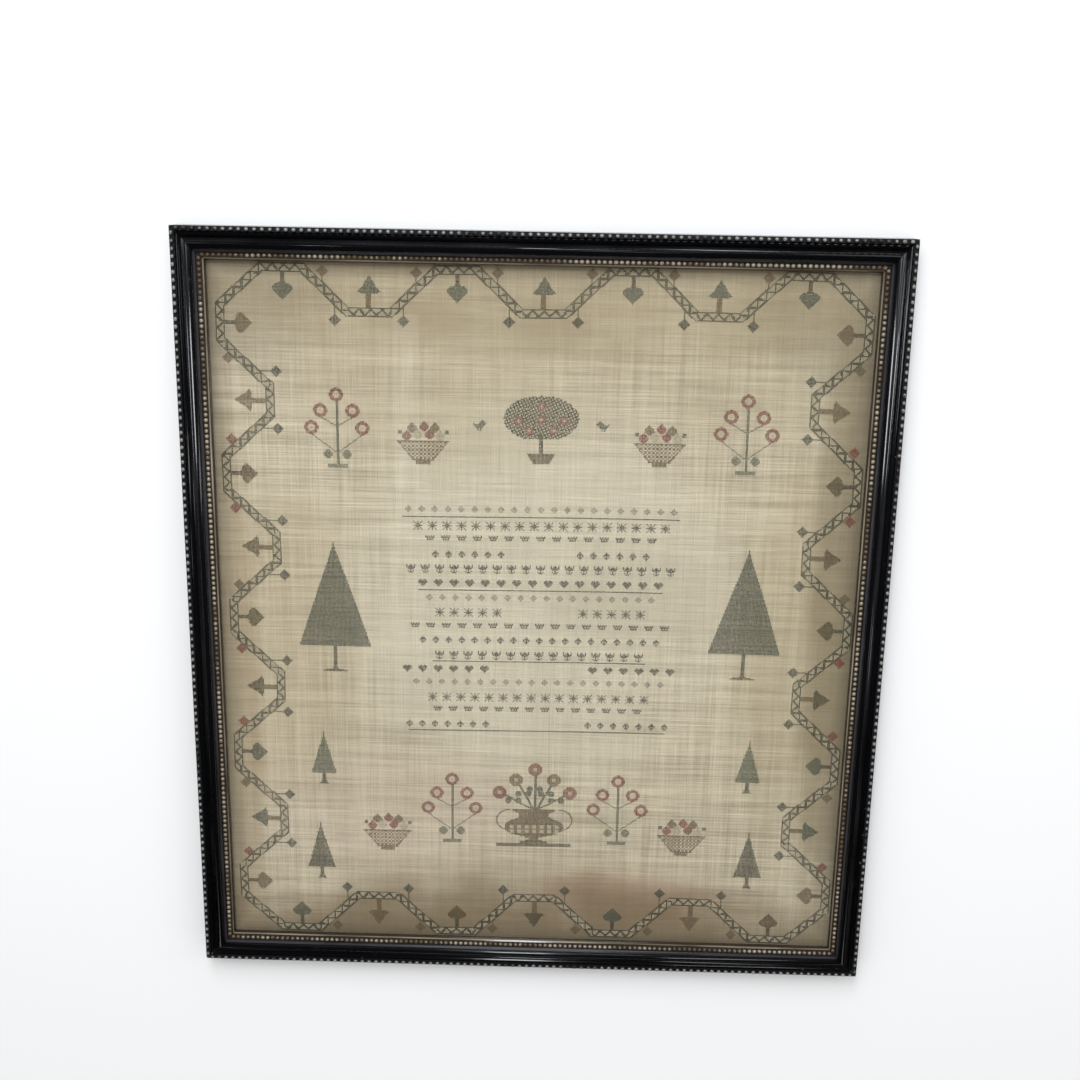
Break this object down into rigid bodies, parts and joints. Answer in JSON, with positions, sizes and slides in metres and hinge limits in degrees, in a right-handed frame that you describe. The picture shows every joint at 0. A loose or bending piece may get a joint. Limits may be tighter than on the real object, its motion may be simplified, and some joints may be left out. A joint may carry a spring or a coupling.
{
  "type": "framed cross stitch sampler",
  "caption": "Cross stitch sampler on aged linen, stretched behind glass in a narrow black moulded frame with a beaded edge and a gilt slip.",
  "frame": {"origin": "middle of the back, in the plane that the rails' flat backs lie in", "axes": "+Z out of the picture's face, +Y to the picture's top, +X to its right as seen from the front"},
  "size_m": [0.48, 0.533, 0.0192],
  "materials": {
    "black_wood": "ebonised and polished, glossy black",
    "rubbed_bead": "black over old gilding, rubbed on the high points",
    "worn_gilt": "worn gilding over a brown ground",
    "clear_glass": "clear flat pane",
    "aged_linen": "plain-woven linen, yellowed and stained",
    "stitching": "dyed embroidery thread in cross stitch",
    "plain_board": "unfinished sawn board"
  },
  "bodies": {
    "root": {"rail_bottom": "black_wood", "rail_right": "black_wood", "rail_top": "black_wood", "rail_left": "black_wood", "bead_edge_bottom": "rubbed_bead", "bead_edge_right": "rubbed_bead", "bead_edge_top": "rubbed_bead", "bead_edge_left": "rubbed_bead", "slip_bottom": "worn_gilt", "slip_right": "worn_gilt", "slip_top": "worn_gilt", "slip_left": "worn_gilt", "glass_pane": "clear_glass", "sampler_cloth": "aged_linen", "back_board": "plain_board"}
  },
  "joints": []
}
